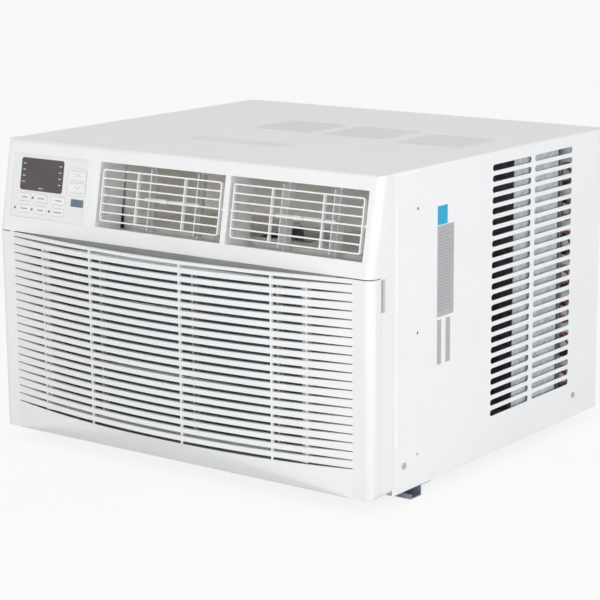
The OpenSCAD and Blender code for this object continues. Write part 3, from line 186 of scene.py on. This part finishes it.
MATERIAL = {
    "cabinet_paint": finish("cabinet_paint", (0.86, 0.87, 0.88), vary=0.012, rough=(0.38, 0.5), grain=1400,
                            bump=0.12, depth=0.0002, wear=0.94),
    "galvanised": spangle("galvanised", (0.55, 0.58, 0.61), 120),
    "rail_zinc": spangle("rail_zinc", (0.42, 0.47, 0.53), 180),
    "screw_steel": finish("screw_steel", (0.62, 0.62, 0.60), metallic=0.9, rough=(0.25, 0.45), grain=3000),
    "panel_plastic": finish("panel_plastic", (0.84, 0.845, 0.845), vary=0.01, rough=(0.36, 0.46), grain=1800,
                            bump=0.06, depth=0.0001, wear=1.03),
    "grille_plastic": finish("grille_plastic", (0.82, 0.83, 0.835), vary=0.012, rough=(0.38, 0.48),
                             grain=1800, bump=0.08, depth=0.0001, wear=1.03),
    # Painted shade: the foam strip's dark grey stands in for the shade in the gap under the fascia's lower
    # edge
    "seal_foam": finish("seal_foam", (0.30, 0.31, 0.32), vary=0.1, rough=(0.85, 0.95), grain=2600, bump=0.6,
                        depth=0.0004),
    "pin_steel": finish("pin_steel", (0.6, 0.6, 0.6), metallic=0.9, rough=(0.25, 0.4), grain=3000),
    "filter_plastic": finish("filter_plastic", (0.62, 0.65, 0.68), rough=(0.4, 0.55), grain=1500),
    "filter_net": finish("filter_net", (0.10, 0.11, 0.13), vary=0.08, rough=(0.5, 0.7), grain=2500),
    "overlay": finish("overlay", (0.80, 0.805, 0.81), vary=0.012, rough=(0.3, 0.4), grain=2200, bump=0.05),
    "display_lens": finish("display_lens", (0.045, 0.032, 0.030), vary=0.10, tint_scale=40,
                           rough=(0.07, 0.14), bump=0.01, Coat_Weight=0.6, Coat_Roughness=0.06),
    "ir_lens": finish("ir_lens", (0.10, 0.15, 0.20), vary=0.12, tint_scale=60, rough=(0.08, 0.16), bump=0.01,
                      Coat_Weight=0.5, Coat_Roughness=0.08),
    "led": finish("led", (0.012, 0.012, 0.014), vary=0.2, rough=(0.15, 0.25), bump=0.02),
    "key_plastic": finish("key_plastic", (0.83, 0.835, 0.84), vary=0.01, rough=(0.32, 0.42), grain=2400,
                          bump=0.05, wear=1.03),
    "circuit_board": circuit("circuit_board"),
    "louver_plastic": finish("louver_plastic", (0.85, 0.855, 0.855), vary=0.01, rough=(0.32, 0.42),
                             grain=2000, bump=0.05, wear=1.03),
    "guide_plastic": finish("guide_plastic", (0.86, 0.85, 0.84), vary=0.02, rough=(0.45, 0.6), grain=1500),
    "duct_foam": finish("duct_foam", (0.92, 0.90, 0.86), vary=0.03, rough=(0.8, 0.95), grain=500, bump=0.35,
                        depth=0.0006),
    "capacitor_can": finish("capacitor_can", (0.7, 0.7, 0.7), metallic=0.9, rough=(0.25, 0.4), grain=900,
                            stretch=(1, 1, 0.05)),
    "scroll_plastic": finish("scroll_plastic", (0.78, 0.77, 0.73), vary=0.03, rough=(0.5, 0.65), grain=700,
                             bump=0.15),
    "blower_plastic": finish("blower_plastic", (0.09, 0.095, 0.10), vary=0.1, rough=(0.4, 0.6), grain=1200),
    "motor_paint": finish("motor_paint", (0.13, 0.13, 0.14), vary=0.08, rough=(0.35, 0.5), grain=800),
    "shaft_steel": finish("shaft_steel", (0.6, 0.6, 0.6), metallic=0.95, rough=(0.18, 0.3), grain=2500,
                          stretch=(1, 0.05, 1)),
    "fin_aluminium": finish("fin_aluminium", (0.58, 0.68, 0.76), vary=0.06, metallic=0.55, rough=(0.3, 0.45),
                            grain=1500, stretch=(1, 1, 0.1)),
    "copper": finish("copper", (0.72, 0.36, 0.22), vary=0.12, tint_scale=25, metallic=0.9, rough=(0.2, 0.4)),
    "compressor_paint": finish("compressor_paint", (0.018, 0.018, 0.02), vary=0.15, rough=(0.22, 0.36),
                               grain=500, bump=0.08, depth=0.0003),
    "grommet_rubber": finish("grommet_rubber", (0.03, 0.03, 0.032), vary=0.15, rough=(0.6, 0.8), grain=1500,
                             bump=0.2),
    "bolt_steel": finish("bolt_steel", (0.6, 0.6, 0.56), metallic=0.9, rough=(0.3, 0.45), grain=2500),
    "label_cyan": finish("label_cyan", (0.01, 0.36, 0.60), vary=0.05, rough=(0.3, 0.4), grain=2500,
                         bump=0.03),
    "label_grey": finish("label_grey", (0.44, 0.445, 0.46), vary=0.03, rough=(0.3, 0.42), grain=2500,
                         bump=0.03),
}
INK = finish("print_ink", (0.30, 0.31, 0.33), vary=0.08, tint_scale=200, rough=(0.35, 0.5), grain=3000)
PALE_INK = finish("pale_ink", (0.52, 0.53, 0.56), vary=0.05, tint_scale=200, rough=(0.35, 0.5), grain=3000)
DARK_INK = finish("dark_ink", (0.10, 0.10, 0.11), vary=0.1, tint_scale=200, rough=(0.3, 0.45), grain=3000)

for part in frame["record"]["subparts"]:
    mesh = NODES[part["node"]].data
    mesh.materials.clear()
    mesh.materials.append(MATERIAL[part["material_slot"]])
    for p in mesh.polygons:
        p.material_index = 0

# ---- Rounded edges on the moulded and folded pieces ----

ROUNDED = {
    "front_panel": 0.8, "intake_grille": 0.5, "cabinet": 0.4, "bottom_rail": 0.4, "control_overlay": 0.25,
    "left_louver": 0.4, "right_louver": 0.4, "left_vane_link": 0.4, "right_vane_link": 0.4,
    "left_vane_1": 0.4, "left_vane_2": 0.4, "right_vane_1": 0.4, "right_vane_2": 0.4,
    "case_screws": 0.3, "rear_guard": 0.4, "cord_gland": 0.4, "filter_frame": 0.4, "outlet_guide": 0.5,
    "key_power": 0.4, "key_mode": 0.4, "key_fan": 0.4, "key_timer": 0.4, "key_sleep": 0.4, "key_save": 0.4,
    "key_up": 0.5, "key_down": 0.5, "display_window": 0.3, "ir_window": 0.3, "base_pan": 0.4,
}
for name, width in ROUNDED.items():
    piece = NODES[name]
    weld = piece.modifiers.new("weld", "WELD")
    weld.merge_threshold = 0.00002
    bevel = piece.modifiers.new("bevel", "BEVEL")
    bevel.width = width / 1000
    bevel.segments = 2
    bevel.limit_method = "ANGLE"
    bevel.angle_limit = math.radians(40)
    bevel.use_clamp_overlap = True
    bevel.harden_normals = True


# ---- Piece builders ----

def mesh_piece(name, build, material, body):
    b = bmesh.new()
    build(b)
    mesh = bpy.data.meshes.new(name)
    b.to_mesh(mesh)
    b.free()
    mesh.materials.append(material)
    piece = bpy.data.objects.new(name, mesh)
    bpy.context.scene.collection.objects.link(piece)
    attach(piece, body)
    return piece


def add_box(b, lo, hi, place=at):
    """A box between two corners given in the frame that place() maps from."""
    v = [b.verts.new(place(x, y, z)) for x in (lo[0], hi[0]) for y in (lo[1], hi[1]) for z in (lo[2], hi[2])]
    for f in ((0, 1, 3, 2), (4, 6, 7, 5), (0, 4, 5, 1), (2, 3, 7, 6), (0, 2, 6, 4), (1, 5, 7, 3)):
        b.faces.new([v[i] for i in f])


def add_prism(b, outline, s0, s1, place):
    """Extrudes an outline of (x, t) points from depth s0 to s1."""
    rings = [[b.verts.new(place(x, s, t)) for x, t in outline] for s in (s0, s1)]
    n = len(outline)
    b.faces.new(rings[0])
    b.faces.new(list(reversed(rings[1])))
    for i in range(n):
        j = (i + 1) % n
        b.faces.new([rings[0][j], rings[0][i], rings[1][i], rings[1][j]])


def round_outline(x0, t0, x1, t1, r, steps=5):
    """A rounded rectangle as (x, t) points, anticlockwise."""
    points = []
    corners = ((x1 - r, t1 - r, 0), (x0 + r, t1 - r, 90), (x0 + r, t0 + r, 180), (x1 - r, t0 + r, 270))
    for cx, ct, a0 in corners:
        for i in range(steps + 1):
            a = math.radians(a0 + 90 * i / steps)
            points.append((cx + r * math.cos(a), ct + r * math.sin(a)))
    return points


def frame_outline(b, x0, t0, x1, t1, r, line, s0, s1, place):
    """A thin printed line round a rounded rectangle."""
    outer = round_outline(x0, t0, x1, t1, r)
    inner = round_outline(x0 + line, t0 + line, x1 - line, t1 - line, r - line)
    n = len(outer)
    rings = [[b.verts.new(place(x, s, t)) for x, t in o] for o in (outer, inner) for s in (s0, s1)]
    for i in range(n):
        j = (i + 1) % n
        for a, c in ((0, 1), (2, 0), (3, 2), (1, 3)):
            b.faces.new([rings[a][i], rings[a][j], rings[c][j], rings[c][i]])


# ---- Coil fins: thin sheets in place of the solid blocks ----

def fin_pack(name, node, pitch, thickness, body):
    lo, hi = [c * 1000 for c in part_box(node)]

    def build(b):
        n = int((hi.x - lo.x) / pitch)
        for i in range(n):
            x = lo.x + (i + 0.5) * pitch
            add_box(b, (x, lo.y, lo.z), (x + thickness, hi.y, hi.z), in_metres)

    piece = mesh_piece(name, build, MATERIAL["fin_aluminium"], body)
    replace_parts(piece, node)


FIN_PITCH, FIN_T = 2.0, 0.35
fin_pack("evaporator_fin_pack", "evaporator_fins", FIN_PITCH, FIN_T, "chassis")
fin_pack("condenser_fin_pack", "condenser_fins", FIN_PITCH, FIN_T, "chassis")


# ---- Filter net ----

# Pitch and width of the net's strands
NET_PITCH, STRAND = 2.6, 0.3


def net(b):
    lo, hi = [c * 1000 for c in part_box("filter_mesh")]
    mid = (lo.y + hi.y) / 2
    for i in range(int((hi.x - lo.x) / NET_PITCH)):
        x = lo.x + (i + 0.5) * NET_PITCH
        add_box(b, (x - STRAND / 2, mid - STRAND, lo.z), (x + STRAND / 2, mid, hi.z), in_metres)
    for i in range(int((hi.z - lo.z) / NET_PITCH)):
        z = lo.z + (i + 0.5) * NET_PITCH
        add_box(b, (lo.x, mid, z - STRAND / 2), (hi.x, mid + STRAND, z + STRAND / 2), in_metres)


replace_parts(mesh_piece("filter_net", net, MATERIAL["filter_net"], "filter"), "filter_mesh")

# ---- Printed marks on the control panel ----

# Thickness of the ink, and how far behind the fascia the printed faces lie
INK_T = 0.06
KEY_S = 1.2
OVERLAY_S = 1.6
LENS_S = 1.3


# The arrow keys' middle, and an arrow's half width, half height and stroke
ARROW_X = -186
ARROW_W, ARROW_H, ARROW_STROKE = 5.5, 1.9, 1.1


def chevron(t0, up):
    def build(b):
        k = 1 if up else -1
        left, right = ARROW_X - ARROW_W, ARROW_X + ARROW_W
        drop = ARROW_H + ARROW_STROKE
        upper = [(left, t0 - k * ARROW_H), (ARROW_X, t0 + k * ARROW_H), (right, t0 - k * ARROW_H)]
        lower = [(right, t0 - k * drop), (ARROW_X, t0 + k * (ARROW_H - ARROW_STROKE)), (left, t0 - k * drop)]
        add_prism(b, (upper + lower)[::k], KEY_S - INK_T, KEY_S, on_fascia)
    return build


mesh_piece("key_up_mark", chevron(89.8, True), PALE_INK, "key_up")
mesh_piece("key_down_mark", chevron(71.5, False), PALE_INK, "key_down")

# The six keys' columns and rows, and each key's column, row and caption width
COLUMNS = (-285, -253, -218.6)
ROWS = (50.8, 34.2)
CAPTIONS = {"key_power": (0, 0, 11), "key_mode": (1, 0, 13), "key_fan": (2, 0, 12),
            "key_timer": (0, 1, 13), "key_sleep": (1, 1, 12), "key_save": (2, 1, 15)}
CAPTION_H, CAPTION_R = 0.8, 0.7


def caption(x, t, w):
    def build(b):
        dash = round_outline(x - w / 2, t - CAPTION_H, x + w / 2, t + CAPTION_H, CAPTION_R, 3)
        add_prism(b, dash, KEY_S - INK_T, KEY_S, on_fascia)
    return build


for key, (column, row, w) in CAPTIONS.items():
    mesh_piece(key + "_mark", caption(COLUMNS[column], ROWS[row], w), INK, key)

# The display's dashes: two columns of four, and one at its foot
MARK_LEFT, MARK_RIGHT, MARK_W, MARK_H, MARK_R = -293, -223, 5.5, 1.4, 0.6
MARK_TOP, MARK_PITCH = 98.5, 8.8
FOOT_MARK = (-260, 64.4, -251, 65.8)


def display_marks(b):
    def mark(*outline):
        add_prism(b, round_outline(*outline, MARK_R, 2), LENS_S - INK_T, LENS_S, on_fascia)

    for i in range(4):
        t = MARK_TOP - i * MARK_PITCH
        for x in (MARK_LEFT, MARK_RIGHT):
            mark(x, t, x + MARK_W, t + MARK_H)
    mark(*FOOT_MARK)


mesh_piece("display_marks", display_marks, PALE_INK, "chassis")


# The line round the arrow keys and the rule above the six keys, with corner radii
ARROW_LINE, ARROW_LINE_R, ARROW_LINE_W = (-206, 60, -169, 100), 5, 0.4
KEY_RULE, KEY_RULE_R = (-302, 58.6, -209, 59), 0.2


def panel_lines(b):
    s = (OVERLAY_S - INK_T, OVERLAY_S)
    frame_outline(b, *ARROW_LINE, ARROW_LINE_R, ARROW_LINE_W, *s, on_fascia)
    add_prism(b, round_outline(*KEY_RULE, KEY_RULE_R, 2), *s, on_fascia)


mesh_piece("panel_lines", panel_lines, PALE_INK, "chassis")


# ---- Rules on the rating label ----

# Rows of short rules on the plate above the two strips
RULE_TOP, RULE_FOOT, RULE_SIDE = 4, 69, 3
RULE_PITCH, RULE_H, RULE_R, RULE_GAP = 4.2, 1.3, 0.4, 1.6
RULES_PER_ROW = 4


def label_rules(b):
    lo, hi = [c * 1000 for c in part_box("rating_labels")]

    def on_label(y, s, z):
        return in_metres(hi.x + s, y, z)

    top, foot = hi.z - RULE_TOP, lo.z + RULE_FOOT
    for i in range(int((top - foot) / RULE_PITCH)):
        z = top - i * RULE_PITCH
        y = lo.y + RULE_SIDE
        for k in range(RULES_PER_ROW):
            # Runs of 3 to 10 mm in a fixed, uneven order
            run = 3 + (i * 7 + k * 5) % 8
            if y + run < hi.y - RULE_SIDE:
                add_prism(b, round_outline(y, z - RULE_H, y + run, z, RULE_R, 2), 0, INK_T, on_label)
            y += run + RULE_GAP


mesh_piece("label_rules", label_rules, INK, "chassis")


# ---- Mark on the top sheet ----

TOP_MARK, TOP_MARK_R = (-109, 116, 59, 152), 3
TOP_MARK_FINISH = finish("top_mark", (0.76, 0.765, 0.775), vary=0.03, rough=(0.35, 0.45))


def top_mark(b):
    def on_top(x, s, y):
        return at(x, y, HEIGHT + s)

    add_prism(b, round_outline(*TOP_MARK, TOP_MARK_R), 0, INK_T, on_top)


mesh_piece("top_mark", top_mark, TOP_MARK_FINISH, "chassis")

# ---- Floor, light and camera ----

# Share of plain white that the camera sees in the floor; the rest keeps the shadow
FLOOR_GLOW = 0.85
FLOOR_HALF = 40

floor_material, t, shader = new_tree("floor")
link(t, ramp(t, noise(t, 3, 3), (0.88, 0.88, 0.88, 1), (0.92, 0.92, 0.92, 1)), shader.inputs["Base Color"])
shader.inputs["Roughness"].default_value = 0.9
shader.inputs["Specular IOR Level"].default_value = 0.1
glow = t.nodes.new("ShaderNodeEmission")
glow.inputs["Color"].default_value = (1, 1, 1, 1)
rays = t.nodes.new("ShaderNodeLightPath")
share = t.nodes.new("ShaderNodeMath")
share.operation = "MULTIPLY"
share.inputs[1].default_value = FLOOR_GLOW
link(t, rays.outputs["Is Camera Ray"], share.inputs[0])
blend = t.nodes.new("ShaderNodeMixShader")
link(t, share.outputs["Value"], blend.inputs["Fac"])
link(t, shader.outputs["BSDF"], blend.inputs[1])
link(t, glow.outputs["Emission"], blend.inputs[2])
link(t, blend.outputs["Shader"], t.nodes["Material Output"].inputs["Surface"])
floor_mesh = bpy.data.meshes.new("floor")
floor_mesh.from_pydata([(x * FLOOR_HALF, y * FLOOR_HALF, 0) for x, y in ((-1, -1), (1, -1), (1, 1), (-1, 1))],
                       [], [(0, 1, 2, 3)])
floor_mesh.materials.append(floor_material)
floor = bpy.data.objects.new("floor", floor_mesh)
bpy.context.scene.collection.objects.link(floor)


def larger(t, a, b):
    """The larger of two sockets."""
    n = t.nodes.new("ShaderNodeMath")
    n.operation = "MAXIMUM"
    link(t, a, n.inputs[0])
    link(t, b, n.inputs[1])
    return n.outputs["Value"]


# The world's level on the object; the camera, metal and glass see plain white instead
AMBIENT = 0.66

world = bpy.data.worlds.new("studio")
bpy.context.scene.world = world
world.use_nodes = True
wt = world.node_tree
ambient = wt.nodes["Background"]
ambient.inputs["Color"].default_value = (1, 1, 1, 1)
ambient.inputs["Strength"].default_value = AMBIENT
white = wt.nodes.new("ShaderNodeBackground")
white.inputs["Color"].default_value = (1, 1, 1, 1)
white.inputs["Strength"].default_value = 1.0
path = wt.nodes.new("ShaderNodeLightPath")
seen = larger(wt, path.outputs["Is Camera Ray"], path.outputs["Is Glossy Ray"])
either = larger(wt, seen, path.outputs["Is Transmission Ray"])
pick = wt.nodes.new("ShaderNodeMixShader")
link(wt, either, pick.inputs["Fac"])
link(wt, ambient.outputs["Background"], pick.inputs[1])
link(wt, white.outputs["Background"], pick.inputs[2])
link(wt, pick.outputs["Shader"], wt.nodes["World Output"].inputs["Surface"])


# Where the lamps point, in metres
TARGET = (0, 0, 0.22)


def area(name, place, size, power):
    lamp = bpy.data.lights.new(name, "AREA")
    lamp.size = size
    lamp.energy = power
    o = bpy.data.objects.new(name, lamp)
    bpy.context.scene.collection.objects.link(o)
    o.location = place
    o.rotation_euler = (Vector(TARGET) - Vector(place)).to_track_quat("-Z", "Y").to_euler()


area("key_light", (1.5, -3.2, 0.95), 1.2, 33)
area("fill_light", (-1.6, -3.0, 1.3), 1.6, 6)
area("side_light", (3.3, -0.4, 0.95), 1.6, 22)

# The camera: where it stands, and its turn, its tilt down and its roll in degrees
PLACE = at(1753.9, -2100.4, 818.0)
YAW, PITCH, ROLL = math.radians(36.83), math.radians(12.289), math.radians(-0.469)
# Focal length and sensor width, in millimetres
FOCAL, SENSOR = 121.044, 36
forward = Vector((-math.sin(YAW) * math.cos(PITCH), math.cos(YAW) * math.cos(PITCH), -math.sin(PITCH)))
right = Vector((math.cos(YAW), math.sin(YAW), 0))
up = right.cross(forward)
across = right * math.cos(ROLL) + up * math.sin(ROLL)
above = up * math.cos(ROLL) - right * math.sin(ROLL)
lens = bpy.data.cameras.new("camera")
lens.sensor_width = SENSOR
lens.lens = FOCAL
camera = bpy.data.objects.new("camera", lens)
bpy.context.scene.collection.objects.link(camera)
camera.matrix_world = Matrix.Translation(PLACE) @ Matrix((across, above, -forward)).transposed().to_4x4()
bpy.context.scene.camera = camera
bpy.context.scene.view_settings.view_transform = "Standard"
